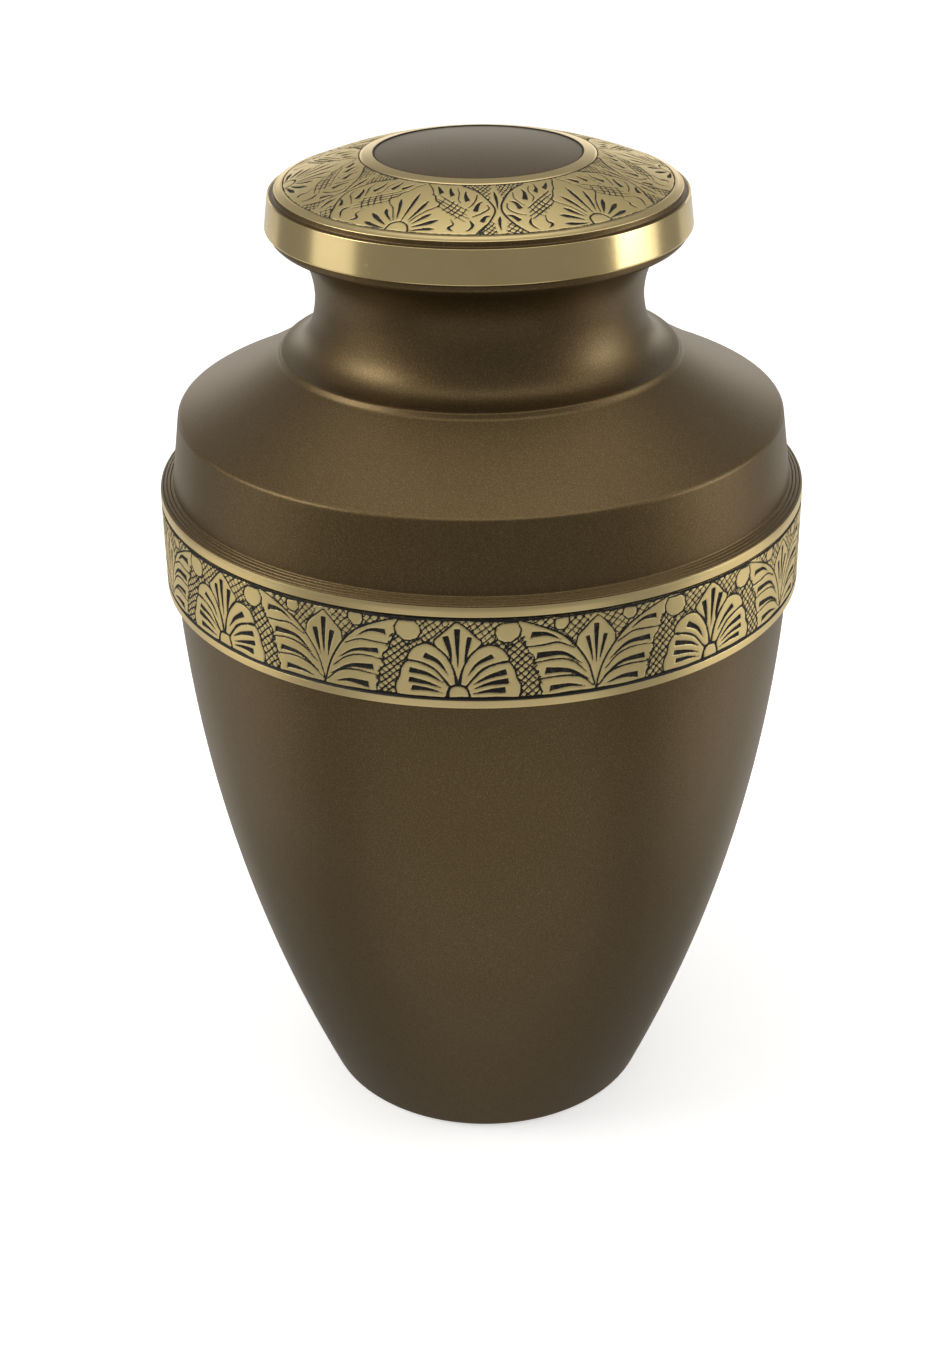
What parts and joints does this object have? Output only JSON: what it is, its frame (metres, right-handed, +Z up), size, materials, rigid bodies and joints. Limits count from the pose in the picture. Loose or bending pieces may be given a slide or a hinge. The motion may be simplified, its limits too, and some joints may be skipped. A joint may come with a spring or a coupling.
{
  "type": "cremation urn",
  "caption": "Turned metal urn with a shouldered body, an engraved belt of palm leaves, a short neck and a domed engraved lid that lifts off, for keeping ashes.",
  "frame": {"origin": "middle of the flat underside", "axes": "+Z up along the turning axis, towards the lid; the face seen in the picture is towards -Y"},
  "size_m": [0.168, 0.168, 0.2678],
  "materials": {
    "bronze_lacquer": "satin metallic bronze-brown lacquer over brass, with a bare brushed brass belt",
    "polished_brass": "polished brass rim and engraved face, satin bronze-brown lacquer in the groove and on the middle disc"
  },
  "bodies": {
    "root": {"urn_body": "bronze_lacquer", "lid": "polished_brass"}
  },
  "joints": []
}
